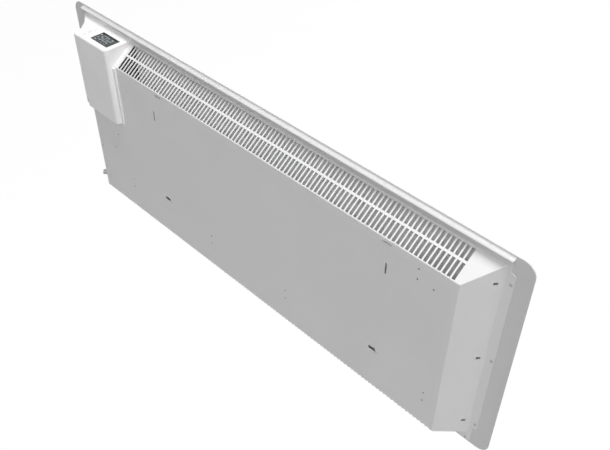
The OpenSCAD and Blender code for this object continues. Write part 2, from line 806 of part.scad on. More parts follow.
module thermostat_housing() {
    lip_z1 = casing_h - bend_r;
    color(housing_color) place() difference() {
        union() {
            difference() {
                difference() {
                    housing_shape(0, cover_y);
                    recess(0);
                    rear_notch();
                }
                difference() {
                    housing_shape(housing_t, casing_d);
                    recess(housing_t);
                }
            }
            block(housing_x0 - lip_w, housing_x0 + housing_t / 2, -lip_t, 0, housing_z0, lip_z1);
            block(housing_x0 - lip_w / 2, housing_x0 + housing_t / 2, sheet_t + gap / 2,
                  sheet_t + lip_t, housing_z0, lip_z1 - lip_t);
            for (p = post_places) pin_y(p[0], p[1], post_r, housing_t / 2 - housing_back, post_end);
            for (p = board_holes) pin_y(p[0], p[1], board_boss_r, housing_t / 2 - housing_back, board_y);
            for (p = hang_bosses) translate([p[0], p[1], inner_top_z - display_t])
                cylinder(r = hang_boss_r, h = display_t + housing_t / 2);
        }
        for (p = post_places)
            pin_y(p[0], p[1], small_screw_r + run_gap, post_end - 10 * small_screw_r, post_end + cut);
        for (p = board_holes)
            pin_y(p[0], p[1], small_screw_r + run_gap, board_y - 7 * small_screw_r, board_y + cut);
        for (p = hang_bosses) translate([p[0], p[1], inner_top_z - display_t - cut])
            cylinder(r = small_screw_r + run_gap, h = 5 * small_screw_r + cut);
        for (p = button_places) translate([p[0], p[1], inner_top_z - cut])
            cylinder(r = button_r + gap / 2, h = housing_t + 2 * cut);
        translate([window_x0 - gap / 2, window_y1 - window_d - gap / 2, housing_z1 - window_t])
            cube([window_w + gap, window_d + gap, window_t + cut]);
        translate([window_x0 + window_ledge, window_y1 - window_d + window_ledge, inner_top_z - cut])
            cube([window_w - 2 * window_ledge, window_d - 2 * window_ledge, housing_t + cut]);
        block(recess_x - housing_t - cut, recess_x + cut, -switch_y - switch_l / 2 - gap / 2,
              -switch_y + switch_l / 2 + gap / 2, switch_z - switch_h / 2 - gap / 2,
              switch_z + switch_h / 2 + gap / 2);
        block(housing_x0 + housing_t + window_in, housing_x0 + housing_t + window_in + window_len,
              window_rear, window_front, housing_z0 - cut, housing_z0 + housing_t + cut);
    }
}

module housing_cover() {
    x0 = housing_x0 + housing_t + gap;
    x1 = housing_x1 - housing_t;
    z0 = housing_z0 + housing_t + gap;
    z1 = inner_top_z - housing_t;
    notch_x = recess_x - housing_t - gap;
    notch_z = recess_z1 + housing_t + gap;
    color("gainsboro") place() difference() {
        plate_xz(post_end, post_end + housing_cover_t)
            polygon([[x0, z0], [notch_x, z0], [notch_x, notch_z], [x1, notch_z], [x1, z1], [x0, z1]]);
        for (p = post_places)
            pin_y(p[0], p[1], small_screw_r + run_gap, post_end - cut, post_end + housing_cover_t + cut);
    }
}

// A small screw along Y whose head lies on the face at depth y
module screw_y(x, z, y, l) {
    pin_y(x, z, small_screw_r, y - l, y);
    pin_y(x, z, small_head_r, y, y + small_head_t);
}

module cover_screws() {
    face_y = post_end + housing_cover_t;
    color(zinc_color) place() for (p = post_places)
        screw_y(p[0], p[1], face_y, housing_cover_t + 8 * small_screw_r);
}

module display_window() {
    color([0.05, 0.07, 0.08]) place() translate([window_x0, window_y1 - window_d, housing_z1 - window_t])
        cube([window_w, window_d, window_t]);
}

module display_panel() {
    color("darkslategray") place()
        translate([window_x0 - display_margin, window_y1 - window_d - display_margin,
                   inner_top_z - display_t])
            cube([window_w + 2 * display_margin, window_d + 2 * display_margin, display_t]);
}

module display_board() {
    x0 = housing_x0 + housing_t + display_board_in;
    y1 = housing_back - housing_t - display_board_back;
    color(board_color) place() difference() {
        translate([x0, y1 - display_board_d, display_board_z])
            cube([housing_x1 - housing_t - display_board_x1 - x0, display_board_d, board_t]);
        for (p = hang_bosses) translate([p[0], p[1], display_board_z - cut])
            cylinder(r = small_screw_r + run_gap, h = board_t + 2 * cut);
    }
}

module display_screws() {
    color(zinc_color) place() for (p = hang_bosses) translate([p[0], p[1], display_board_z]) {
        cylinder(r = small_screw_r, h = board_t + 4 * small_screw_r);
        translate([0, 0, -small_head_t]) cylinder(r = small_head_r, h = small_head_t);
    }
}

module tact_switches() {
    color("dimgray") place() for (p = button_places) translate([p[0], p[1], display_board_z + board_t]) {
        translate([-tact_w / 2, -tact_w / 2, 0]) cube([tact_w, tact_w, tact_h]);
        cylinder(r = tact_cap_r, h = tact_h + tact_cap_h);
    }
}

module button(k) {
    p = button_places[k];
    cap_z0 = inner_top_z - button_under - button_flange_t;
    stem_z0 = display_board_z + board_t + tact_h + tact_cap_h + button_travel + button_under;
    color(housing_color) place() translate([p[0], p[1], 0]) union() {
        translate([0, 0, cap_z0]) cylinder(r = button_r, h = housing_z1 + button_proud - cap_z0);
        translate([0, 0, cap_z0]) cylinder(r = button_flange_r, h = button_flange_t);
        translate([0, 0, stem_z0]) cylinder(r = button_stem_r, h = cap_z0 + button_flange_t / 2 - stem_z0);
    }
}

module button_minus() {
    button(2);
}

module button_ok() {
    button(1);
}

module button_plus() {
    button(0);
}

module switch_body() {
    x0 = recess_x - switch_d;
    x1 = recess_x + frame_t;
    color([0.10, 0.10, 0.11]) place() difference() {
        union() {
            block(x0, recess_x + frame_t / 2, -switch_y - switch_l / 2, -switch_y + switch_l / 2,
                  switch_z - switch_h / 2, switch_z + switch_h / 2);
            block(recess_x, x1, -switch_y - frame_l / 2, -switch_y + frame_l / 2,
                  switch_z - frame_h / 2, switch_z + frame_h / 2);
        }
        block(x0 + switch_d / 2, x1 + cut, -switch_y - rocker_l / 2 - 2 * gap,
              -switch_y + rocker_l / 2 + 2 * gap,
              switch_z - switch_h / 2 + switch_wall, switch_z + switch_h / 2 - switch_wall);
        translate([pivot_x, switch_y, switch_z - switch_h / 2])
            cylinder(r = pivot_r + run_gap, h = switch_h);
    }
}

module switch_blades() {
    x1 = recess_x - switch_d;
    color("goldenrod") place() for (s = [-1, 1])
        block(x1 - blade_l, x1, -switch_y + s * blade_dy - blade_t / 2,
              -switch_y + s * blade_dy + blade_t / 2, switch_z - blade_w / 2, switch_z + blade_w / 2);
}

module switch_rocker() {
    half = rocker_l / 2;
    dish_x = rocker_top - rocker_dish;
    color([0.16, 0.16, 0.17]) place() translate([pivot_x, switch_y, switch_z]) rotate([0, 0, -rocker_tilt]) {
        translate([0, 0, -rocker_h / 2]) linear_extrude(rocker_h)
            polygon([[-rocker_foot, -half / 2], [0, -half], [rocker_top, -half], [dish_x, 0],
                     [rocker_top, half], [0, half], [-rocker_foot, half / 2]]);
        translate([0, 0, -(switch_h - switch_wall) / 2]) cylinder(r = pivot_r, h = switch_h - switch_wall);
    }
}

module control_board() {
    color(board_color) place() difference() {
        block(board_x0, board_x0 + board_w, board_y, board_front, board_z0, board_z0 + board_h);
        for (p = board_holes)
            pin_y(p[0], p[1], small_screw_r + run_gap, board_y - cut, board_front + cut);
    }
}

module board_screws() {
    color(zinc_color) place() for (p = board_holes)
        screw_y(p[0], p[1], board_front, board_t + 6 * small_screw_r);
}

// A part on the control board: its corner from the board's lower corner, then its size
module board_part(at, size) {
    block(board_x0 + at[0], board_x0 + at[0] + size[0], board_front, board_front + size[2],
          board_z0 + at[1], board_z0 + at[1] + size[1]);
}

module relay() {
    color("royalblue") place() board_part(relay_at, relay_size);
}

module transformer() {
    color("goldenrod") place() {
        board_part(core_at, core_size);
        translate([0, -core_size[2], 0]) board_part(coil_at, coil_size);
    }
}

module capacitor() {
    color("steelblue") place()
        pin_y(board_x0 + capacitor_at[0], board_z0 + capacitor_at[1], capacitor_r,
              board_front, board_front + capacitor_h);
}

module board_connector() {
    color("darkgreen") place() difference() {
        block(entry_x0 - connector_edge, entry_x0 + (entry_n - 1) * entry_pitch + connector_edge,
              board_front, board_front + connector_d, board_z0, board_z0 + connector_h);
        for (i = [0:entry_n - 1]) translate([entry_x0 + i * entry_pitch, 0, 0])
            pin_y(0, board_z0 + connector_h / 2, entry_r,
                  board_front + connector_d - entry_depth, board_front + connector_d + cut);
    }
}

module ribbon_cable() {
    color("lightgray") place()
        block(board_x0 + ribbon_at, board_x0 + ribbon_at + ribbon_w, board_front, board_front + ribbon_t,
              board_z0 + board_h - ribbon_lap, display_board_z);
}

module room_sensor() {
    color("black") place() translate([housing_x0 + sensor_in, sensor_y, housing_z0 + housing_t]) {
        cylinder(r = sensor_r, h = sensor_h - sensor_r);
        translate([0, 0, sensor_h - sensor_r]) sphere(r = sensor_r);
    }
}

module cord_gland() {
    color([0.15, 0.15, 0.16]) place() on_gland() difference() {
        union() {
            cylinder(r = gland_r, h = gland_nose);
            cylinder(r = gland_flange_r, h = gland_flange_t);
            translate([0, 0, -gland_inside])
                cylinder(r = gland_shank_r, h = gland_inside + gland_flange_t / 2);
        }
        translate([0, 0, -gland_inside - cut])
            cylinder(r = gland_bore_r, h = gland_inside + gland_nose + 2 * cut);
    }
}

module gland_nut() {
    color([0.15, 0.15, 0.16]) place() on_gland()
        translate([0, 0, -sheet_t - gland_nut_t]) difference() {
            cylinder(r = gland_nut_r, h = gland_nut_t, $fn = 6);
            translate([0, 0, -cut]) cylinder(r = gland_shank_r + run_gap, h = gland_nut_t + 2 * cut);
        }
}

module terminal_block() {
    color("whitesmoke") place() difference() {
        block(block_cx - block_w / 2, block_cx + block_w / 2, sheet_t, sheet_t + block_d,
              block_z - block_h / 2, block_z + block_h / 2);
        for (s = [-1, 1])
            pin_y(block_cx + s * block_screw_w / 2, block_z - s * block_screw_h / 2, rivet_r + run_gap,
                  sheet_t - cut, sheet_t + block_d + cut);
        for (z = block_poles) {
            pin_x(wire_y, z, pole_r + run_gap, block_cx - block_w / 2 - cut, block_cx + block_w / 2 + cut);
            for (s = [-1, 1]) pin_y(block_cx + s * pole_dx, z, pole_well_r, wire_y, sheet_t + block_d + cut);
        }
    }
}

module terminal_inserts() {
    color("goldenrod") place() for (z = block_poles) difference() {
        pin_x(wire_y, z, pole_r, block_cx - block_w / 2 + insert_in, block_cx + block_w / 2 - insert_in);
        pin_x(wire_y, z, wire_r + gap, block_cx - block_w, block_cx + block_w);
        for (s = [-1, 1])
            pin_y(block_cx + s * pole_dx, z, pole_screw_r + run_gap, wire_y, wire_y + 2 * pole_r);
    }
}

module terminal_screws() {
    head_y = wire_y + pole_r + run_gap;
    color(zinc_color) place() for (z = block_poles, s = [-1, 1]) {
        pin_y(block_cx + s * pole_dx, z, pole_screw_r, wire_y + wire_r + gap, head_y);
        pin_y(block_cx + s * pole_dx, z, pole_head_r, head_y, head_y + pole_head_t);
    }
}

module block_screws() {
    face_y = sheet_t + block_d;
    color(zinc_color) place() for (s = [-1, 1])
        translate([block_cx + s * block_screw_w / 2, 0, block_z - s * block_screw_h / 2]) {
            pin_y(0, 0, rivet_r, rivet_back, face_y);
            pin_y(0, 0, rivet_head_r, face_y, face_y + rivet_head_t);
        }
}

module earth_studs() {
    color("goldenrod") place() for (z = earth_zs) {
        pin_y(casing_w - earth_in, z, earth_r, rivet_back, sheet_t + 2 * earth_nut_t);
        translate([casing_w - earth_in, -sheet_t, z]) rotate([90, 0, 0])
            cylinder(r = earth_nut_r, h = earth_nut_t, $fn = 6);
    }
}

module element_fins() {
    core = fin_h / 2;
    color("silver") place() difference() {
        plate_yz(fins_x0, fins_x1) translate([-element_y, element_z]) union() {
            circle(r = fin_core_r);
            intersection() {
                square([fin_d, fin_h], center = true);
                for (a = [fin_spread, -fin_spread, 2.6 * fin_spread, -2.6 * fin_spread])
                    rotate(a) square([fin_t, 3 * core], center = true);
            }
        }
        pin_x(element_y, element_z, rod_r + run_gap, fins_x0 - cut, fins_x1 + cut);
    }
}

module element_rod() {
    color("dimgray") place() pin_x(element_y, element_z, rod_r, rod_x0, rod_x1);
}

module rod_seals() {
    color("firebrick") place() for (x = [rod_x0 - seal_l, rod_x1]) difference() {
        pin_x(element_y, element_z, seal_r, x, x + seal_l);
        pin_x(element_y, element_z, pin_r + run_gap, x - cut, x + seal_l + cut);
    }
}

module element_pins() {
    color("silver") place() {
        pin_x(element_y, element_z, pin_r, rod_x0 - pin_l, rod_x0);
        pin_x(element_y, element_z, pin_r, rod_x1, rod_x1 + pin_l);
    }
}

module end_bushes() {
    color("linen") place() for (x = [element_x0 - plate_t, divider_x]) difference() {
        union() {
            pin_x(element_y, element_z, bush_r, x - bush_flange_t, x);
            pin_x(element_y, element_z, bush_neck_r, x - bush_flange_t / 2, x + plate_t + bush_flange_t / 2);
            pin_x(element_y, element_z, bush_r, x + plate_t, x + plate_t + bush_flange_t);
        }
        pin_x(element_y, element_z, rod_r + run_gap, x - 2 * bush_flange_t, x + 3 * bush_flange_t);
    }
}

// Foot on the rear face, plate across the casing, and two small feet under the heat shield
module support(x) {
    px = x + foot_w / 2 - plate_t;
    z0 = element_z - support_h / 2;
    z1 = element_z + support_h / 2;
    foot_h = 2 * rivet_dz + foot_w;
    block(x - foot_w / 2, px + plate_t, sheet_t, sheet_t + plate_t,
          element_z - foot_h / 2, element_z + foot_h / 2);
    block(px, px + plate_t, sheet_t, shield_y, z0, z1);
    for (z = [z0, z1 - front_foot_h])
        block(px - front_foot_w, px + plate_t, shield_y - plate_t, shield_y, z, z + front_foot_h);
}

// Holes for a support's rivets, at the rear and under the shield
module support_holes(x) {
    for (s = [-1, 1])
        pin_y(x, element_z + s * rivet_dz, rivet_r + run_gap, sheet_t - cut, sheet_t + plate_t + cut);
    for (z = shield_rivet_zs)
        pin_y(shield_rivet_x(x), z, rivet_r + run_gap, shield_y - plate_t - cut, shield_y + cut);
}

shield_rivet_zs = [element_z - (support_h - front_foot_h) / 2, element_z + (support_h - front_foot_h) / 2];
function shield_rivet_x(x) = x + (foot_w - front_foot_w) / 2 - plate_t;

module support_1() {
    color(zinc_color) place() difference() {
        support(support_x1);
        support_holes(support_x1);
        pin_x(element_y, element_z, bush_neck_r + run_gap, element_x0 - plate_t - cut, element_x0 + cut);
    }
}

// A support that the finned section passes through
module mid_support(x) {
    color(zinc_color) place() difference() {
        support(x);
        support_holes(x);
        block(x - foot_w, x + foot_w, element_y - fin_d / 2 - gap, element_y + fin_d / 2 + gap,
              element_z - fin_h / 2 - gap, element_z + fin_h / 2 + gap);
    }
}

module support_2() {
    mid_support(support_x2);
}

module support_3() {
    mid_support(support_x3);
}

module divider_plate() {
    foot_x = support_feet[3];
    foot_h = 2 * rivet_dz + foot_w;
    front = casing_d - 2;
    color(zinc_color) place() difference() {
        union() {
            plate_yz(divider_x, divider_x + plate_t) intersection() {
                polygon([for (p = tub(casing_h, bottom_drop, top_rise, sheet_t + gap, casing_d))
                         [p[1], p[0]]]);
                translate([-front, -casing_h]) square([front - sheet_t, 3 * casing_h]);
            }
            block(divider_x, foot_x + foot_w / 2, sheet_t, sheet_t + plate_t,
                  element_z - foot_h / 2, element_z + foot_h / 2);
        }
        for (s = [-1, 1])
            pin_y(foot_x, element_z + s * rivet_dz, rivet_r + run_gap,
                  sheet_t - cut, sheet_t + plate_t + cut);
        pin_x(element_y, element_z, bush_neck_r + run_gap, divider_x - cut, divider_x + plate_t + cut);
        pin_x(return_y, return_z, grommet_r - grommet_t / 2 + run_gap,
              divider_x - cut, divider_x + plate_t + cut);
    }
}

// A rivet from just inside the rear face, through a plate on it
module rear_rivet(x, z, through) {
    pin_y(x, z, rivet_r, rivet_back, sheet_t + through);
    pin_y(x, z, rivet_head_r, sheet_t + through, sheet_t + through + rivet_head_t);
}

module support_rivets() {
    color(zinc_color) place() for (x = support_feet, s = [-1, 1])
        rear_rivet(x, element_z + s * rivet_dz, plate_t);
}

module heat_shield() {
    color("silver") place() difference() {
        block(shield_x0, divider_x - shield_x1_gap, shield_y, shield_y + shield_t,
              shield_z0, shield_z0 + shield_h);
        for (x = [support_x1, support_x2, support_x3], z = shield_rivet_zs)
            pin_y(shield_rivet_x(x), z, rivet_r + run_gap, shield_y - cut, shield_y + shield_t + cut);
    }
}

module shield_rivets() {
    face_y = shield_y + shield_t;
    color(zinc_color) place() for (x = [support_x1, support_x2, support_x3], z = shield_rivet_zs) {
        pin_y(shield_rivet_x(x), z, rivet_r, shield_y - plate_t - rivet_head_t, face_y);
        pin_y(shield_rivet_x(x), z, rivet_head_r, face_y, face_y + rivet_head_t);
    }
}

module overheat_limiter() {
    plate_y = sheet_t + plate_t;
    blade_y = plate_y + limiter_h;
    color("darkslategray") place() difference() {
        union() {
            block(limiter_x - limiter_plate_w / 2, limiter_x + limiter_plate_w / 2, sheet_t, plate_y,
                  limiter_z2 - limiter_plate_edge, limiter_z1 + limiter_plate_edge);
            pin_y(limiter_x, limiter_zm, limiter_r, sheet_t, blade_y);
            block(limiter_x - limiter_blade_l, limiter_x + limiter_blade_l, blade_y - blade_t / 2,
                  blade_y + blade_t / 2, limiter_zm - blade_w / 2, limiter_zm + blade_w / 2);
        }
        for (z = [limiter_z1, limiter_z2])
            pin_y(limiter_x, z, rivet_r + run_gap, sheet_t - cut, plate_y + cut);
    }
}

module limiter_rivets() {
    color(zinc_color) place() {
        for (z = [limiter_z1, limiter_z2]) rear_rivet(limiter_x, z, plate_t);
        rear_rivet(clip_x, clip_z, clip_t);
    }
}

module wire_clip() {
    hook_r = wire_r + gap;
    wire_x = clip_x - clip_w;
    color("white") place() difference() {
        union() {
            block(wire_x, clip_x + clip_w / 2, sheet_t, sheet_t + clip_t,
                  clip_z - clip_w / 2, clip_z + clip_w / 2);
            translate([wire_x, -clip_wire_y, clip_z - clip_w / 2])
                cylinder(r = hook_r + clip_t, h = clip_w);
        }
        pin_y(clip_x, clip_z, rivet_r + run_gap, sheet_t - cut, sheet_t + clip_t + cut);
        translate([wire_x, -clip_wire_y, clip_z - clip_w]) cylinder(r = hook_r, h = 2 * clip_w);
    }
}

module divider_grommet() {
    neck_r = grommet_r - grommet_t / 2;
    color([0.12, 0.12, 0.12]) place() difference() {
        union() {
            pin_x(return_y, return_z, grommet_r, divider_x - grommet_t, divider_x);
            pin_x(return_y, return_z, neck_r, divider_x - grommet_t / 2, divider_x + plate_t + grommet_t / 2);
            pin_x(return_y, return_z, grommet_r, divider_x + plate_t, divider_x + plate_t + grommet_t);
        }
        pin_x(return_y, return_z, wire_r + gap,
              divider_x - 2 * grommet_t, divider_x + plate_t + 2 * grommet_t);
    }
}

// X of an entry of the board's connector
function entry_x(i) = entry_x0 + i * entry_pitch;

module supply_wires() {
    bend = 2.5 * wire_r;
    block_x0 = block_cx - block_w / 2;
    block_x1 = block_cx + block_w / 2;
    blade_x = recess_x - switch_d - blade_l;
    lane_x = block_x0 - lane_step;
    live_x = lane_x - live_step;
    live_y = wire_y + live_step;
    turn_z = housing_z0 - live_turn;
    switch_x = entry_x(4) + lane_step - wire_r;
    turn_y = switch_y - blade_dy;
    color("sienna") place() {
        tube(route([[block_x0, -wire_y, block_poles[1]], [lane_x, -wire_y, block_poles[1]],
                    [lane_x, -wire_y, housing_z0], [entry_x(0), -wire_y, board_z0 - wire_turn],
                    [entry_x(0), -wire_y, board_z0]], bend), wire_r);
        tube(route([[block_x0, -wire_y, block_poles[0]], [live_x, -wire_y, block_poles[0]],
                    [live_x, -live_y, block_z], [live_x, -live_y, turn_z], [switch_x, -live_y, turn_z],
                    [switch_x, turn_y, switch_z], [blade_x, turn_y, switch_z]], bend), wire_r);
        tube(route([[blade_x, switch_y + blade_dy, switch_z], [entry_x(4), switch_y + blade_dy, switch_z],
                    [entry_x(4), -wire_y, board_z0 - wire_turn],
                    [entry_x(4), -wire_y, board_z0]], bend), wire_r);
        tube(route([[block_x1, -wire_y, block_poles[2]], [block_x1 + earth_step, -wire_y, block_poles[2]],
                    [block_x1 + earth_step, -wire_y, earth_zs[1]],
                    [casing_w - earth_in - earth_nut_r, -wire_y + earth_nut_t, earth_zs[1]]], bend), wire_r);
    }
}

module element_wires() {
    bend = 3 * wire_r;
    pin_x0 = rod_x0 - pin_l;
    pin_x1 = rod_x1 + pin_l;
    blade_y = sheet_t + plate_t + limiter_h;
    clip_lane = clip_x - clip_w;
    return_x = limiter_x + limiter_blade_l + return_step;
    color("gray") place() {
        tube(route([[pin_x0, -element_y, element_z], [pin_x0 - pin_turn, -element_y, element_z],
                    [pin_x0 - pin_turn, -element_y, rise_z], [clip_lane, -clip_wire_y, clip_z - clip_rise],
                    [clip_lane, -clip_wire_y, clip_z + clip_over],
                    [clip_lane + pin_turn, -blade_y, limiter_zm],
                    [limiter_x - limiter_blade_l, -blade_y, limiter_zm]], bend), wire_r);
        tube(route([[limiter_x + limiter_blade_l, -blade_y, limiter_zm], [return_x, -blade_y, limiter_zm],
                    [return_x, -return_y, return_z + return_drop], [return_x, -return_y, return_z],
                    [entry_x(1), -return_y, return_z], [entry_x(1), -return_y, housing_z0],
                    [entry_x(1), -wire_y, board_z0 - wire_turn],
                    [entry_x(1), -wire_y, board_z0]], bend), wire_r);
        tube(route([[pin_x1, -element_y, element_z], [entry_x(2), -element_y, element_z],
                    [entry_x(2), -element_y, return_z], [entry_x(2), -wire_y, board_z0 - wire_turn],
                    [entry_x(2), -wire_y, board_z0]], bend), wire_r);
    }
}

front_panel();
rear_casing();
panel_studs();
thermostat_housing();
housing_cover();
cover_screws();
display_window();
display_panel();
display_board();
display_screws();
tact_switches();
button_minus();
button_ok();
button_plus();
switch_body();
switch_blades();
switch_rocker();
control_board();
board_screws();
relay();
transformer();
capacitor();
board_connector();
ribbon_cable();
room_sensor();
cord_gland();
gland_nut();
terminal_block();
terminal_inserts();
terminal_screws();
block_screws();
earth_studs();
element_fins();
element_rod();
rod_seals();
element_pins();
end_bushes();
support_1();
support_2();
support_3();
divider_plate();
support_rivets();
heat_shield();
shield_rivets();
overheat_limiter();
limiter_rivets();
wire_clip();
divider_grommet();
supply_wires();
element_wires();
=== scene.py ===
"""A wall panel convector heater seen from behind and above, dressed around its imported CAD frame."""
import json
import math

import bmesh
import bpy
from mathutils import Matrix, Vector


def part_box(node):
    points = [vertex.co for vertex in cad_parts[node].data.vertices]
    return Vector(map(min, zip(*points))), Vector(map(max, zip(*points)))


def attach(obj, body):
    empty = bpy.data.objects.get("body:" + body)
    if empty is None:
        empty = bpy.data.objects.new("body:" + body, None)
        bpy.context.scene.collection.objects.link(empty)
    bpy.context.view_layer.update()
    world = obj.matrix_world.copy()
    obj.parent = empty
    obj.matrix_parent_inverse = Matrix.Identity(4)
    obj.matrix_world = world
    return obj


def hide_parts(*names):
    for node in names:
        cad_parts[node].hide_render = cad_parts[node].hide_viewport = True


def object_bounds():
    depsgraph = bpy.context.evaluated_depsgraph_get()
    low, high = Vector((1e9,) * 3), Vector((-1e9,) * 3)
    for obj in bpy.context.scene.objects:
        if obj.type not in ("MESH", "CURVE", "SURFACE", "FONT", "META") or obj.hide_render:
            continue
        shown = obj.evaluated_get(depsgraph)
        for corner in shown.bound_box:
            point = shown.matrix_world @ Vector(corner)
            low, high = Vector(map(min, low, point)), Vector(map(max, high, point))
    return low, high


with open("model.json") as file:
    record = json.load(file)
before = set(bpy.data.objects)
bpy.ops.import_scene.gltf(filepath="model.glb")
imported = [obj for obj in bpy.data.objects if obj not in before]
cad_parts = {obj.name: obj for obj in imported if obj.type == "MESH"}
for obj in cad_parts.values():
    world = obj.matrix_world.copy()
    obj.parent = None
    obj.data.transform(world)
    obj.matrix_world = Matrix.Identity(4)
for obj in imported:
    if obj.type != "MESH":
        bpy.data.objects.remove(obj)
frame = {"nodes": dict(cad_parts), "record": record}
CAD_BOX = [list(corner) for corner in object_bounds()]
NODES = frame["nodes"]
BODY = "heater"
MM = 0.001

# Camera, solved from the photograph's edges: place in metres, turn in degrees, lens in millimetres
CAMERA_PLACE = (-0.664557, 0.587172, 0.676494)
CAMERA_TURN = (48.157465, -0.392223, -135.233611)
CAMERA_LENS = 47.1815
SENSOR_W = 36.0
NEAREST_SEEN = 0.01

# Square lamps that point at the origin: name, place, size in metres and power in watts
LAMPS = (
    ("top_light", (-0.3, -0.1, 2.2), 1.2, 45.0),
    ("side_light", (-3.0, 0.1, 0.5), 1.6, 15.5),
    ("back_light", (-0.7, 1.9, 2.3), 1.6, 33.0),
    ("front_light", (0.5, -3.0, 0.7), 1.6, 30.0),
)
# Strength of the white world's light on the heater
WORLD_LEVEL = 0.06

# The floor: its distance under the heater, its size, and the share and strength of plain white where
# a ray sees it
FLOOR_DROP = 0.55
FLOOR_SIZE = 14.0
FLOOR_WHITE = 0.94
FLOOR_GLOW = 1.02
FLOOR_PAPER = (0.92, 0.92, 0.92)
FLOOR_TONES = ((0.90, 0.90, 0.90), (0.93, 0.93, 0.93))
FLOOR_ROUGHNESS = 0.8
FLOOR_CLOUDS = 3.0

# The middle part of a noise pattern, which is spread over a range
NOISE_LOW, NOISE_HIGH = 0.3, 0.7
# Patterns of the finishes: noise as its scale per metre, with its detail where that isn't the usual one,
# factors on the base colour, steps of roughness, and the strength and height of bumps
NOISE_DETAIL = 3.0
COAT_CLOUDS, COAT_PATCHES = (7.0, 4.0), 55.0
COAT_TONES, COAT_GLOSS = (0.985, 1.012), (-0.04, 0.05)
COAT_GRAIN, COAT_RELIEF, COAT_HEIGHT = (900.0, 2.0), 0.25, 0.04 * MM
PLASTIC_CLOUDS, PLASTIC_PATCHES = 22.0, 160.0
PLASTIC_GLOSS = (-0.05, 0.06)
PLASTIC_GRAIN, GRAIN_DETAIL = 2600.0, 1.0
PLASTIC_RELIEF, PLASTIC_HEIGHT = 0.3, 0.03 * MM
METAL_LINES, METAL_STRETCH = (60.0, 5.0), (1.0, 40.0, 40.0)
METAL_TONES, METAL_GLOSS = (0.86, 1.08), (-0.08, 0.12)
METAL_RELIEF, METAL_HEIGHT = 0.2, 0.02 * MM
# Painted light on the sheets' inner sides: the noise scale of its cloudy tone, and its darkest tone as a
# factor
INSIDE_LIGHT_CLOUDS, INSIDE_LIGHT_TONE = 9.0, 0.97
WINDOW_SMUDGES, WINDOW_TONES, WINDOW_GLOSS = (60.0, 4.0), (0.9, 1.25), (-0.04, 0.08)
DIGIT_CLOUDS, DIGIT_TONE, DIGIT_GLOW = 240.0, 0.75, 0.12

# A face looks along an axis where its normal's part along it passes this
FACING = 0.3
# The casing's mouth on the panel: lowest and highest X and Z
MOUTH = ((-0.372, -0.300), (0.467, 0.035))
# Sockets that share a name: of the Mix node for colours, and of the Mix Shader node
MIX_A, MIX_B, MIX_RESULT = 6, 7, 2
SHADER_A, SHADER_B = 1, 2


def part_of(node):
    """Lowest corner, highest corner and centre of a CAD node."""
    low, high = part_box(node)
    return low, high, (low + high) / 2


def node_material(name, base, roughness, metallic=0.0):
    """A procedural material with its shader, ready for a pattern."""
    material = bpy.data.materials.new(name)
    material.use_nodes = True
    shader = material.node_tree.nodes["Principled BSDF"]
    shader.inputs["Base Color"].default_value = (*base, 1.0)
    shader.inputs["Roughness"].default_value = roughness
    shader.inputs["Metallic"].default_value = metallic
    return material, material.node_tree, shader


def noise_at(tree, scale, detail=NOISE_DETAIL, stretch=(1.0, 1.0, 1.0)):
    """A noise pattern in the object's own metres."""
    place = tree.nodes.new("ShaderNodeTexCoord")
    mapping = tree.nodes.new("ShaderNodeMapping")
    mapping.inputs["Scale"].default_value = stretch
    noise = tree.nodes.new("ShaderNodeTexNoise")
    noise.inputs["Scale"].default_value = scale
    noise.inputs["Detail"].default_value = detail
    tree.links.new(place.outputs["Object"], mapping.inputs["Vector"])
    tree.links.new(mapping.outputs["Vector"], noise.inputs["Vector"])
    return noise.outputs["Fac"]


def ramp(tree, value, low, high):
    """Spreads a pattern between two colours."""
    node = tree.nodes.new("ShaderNodeValToRGB")
    node.color_ramp.elements[0].position = NOISE_LOW
    node.color_ramp.elements[1].position = NOISE_HIGH
    node.color_ramp.elements[0].color = (*low, 1.0)
    node.color_ramp.elements[1].color = (*high, 1.0)
    tree.links.new(value, node.inputs["Fac"])
    return node.outputs["Color"]


def span(tree, value, low, high):
    """Spreads a pattern between two numbers."""
    node = tree.nodes.new("ShaderNodeMapRange")
    node.inputs["From Min"].default_value = NOISE_LOW
    node.inputs["From Max"].default_value = NOISE_HIGH
    node.inputs["To Min"].default_value = low
    node.inputs["To Max"].default_value = high
    tree.links.new(value, node.inputs["Value"])
    return node.outputs["Result"]


def bump(tree, shader, value, strength, distance):
    """Raises a pattern on the surface."""
    node = tree.nodes.new("ShaderNodeBump")
    node.inputs["Strength"].default_value = strength
    node.inputs["Distance"].default_value = distance
    tree.links.new(value, node.inputs["Height"])
    tree.links.new(node.outputs["Normal"], shader.inputs["Normal"])


def shade(colour, factor):
    """A colour made darker or lighter."""
    return tuple(min(1.0, c * factor) for c in colour)


def math_node(tree, operation, first, second, clamp=False):
    """A sum, product or comparison of an output with another output or a number."""
    node = tree.nodes.new("ShaderNodeMath")
    node.operation = operation
    node.use_clamp = clamp
    tree.links.new(first, node.inputs[0])
    if isinstance(second, (int, float)):
        node.inputs[1].default_value = second
    else:
        tree.links.new(second, node.inputs[1])
    return node.outputs[0]


def axes_of(tree, output):
    """The three parts of the place or of the surface's direction, in the object's own axes."""
    place = tree.nodes.new("ShaderNodeTexCoord")
    parts = tree.nodes.new("ShaderNodeSeparateXYZ")
    tree.links.new(place.outputs[output], parts.inputs["Vector"])
    return parts.outputs


def drift(tree, shader, base, roughness, clouds, tones, patches, gloss):
    """Lets a surface's tone follow one pattern and its roughness another."""
    darkest, lightest = (shade(base, factor) for factor in tones)
    tree.links.new(ramp(tree, clouds, darkest, lightest), shader.inputs["Base Color"])
    smoothest, roughest = (roughness + step for step in gloss)
    tree.links.new(span(tree, patches, smoothest, roughest), shader.inputs["Roughness"])


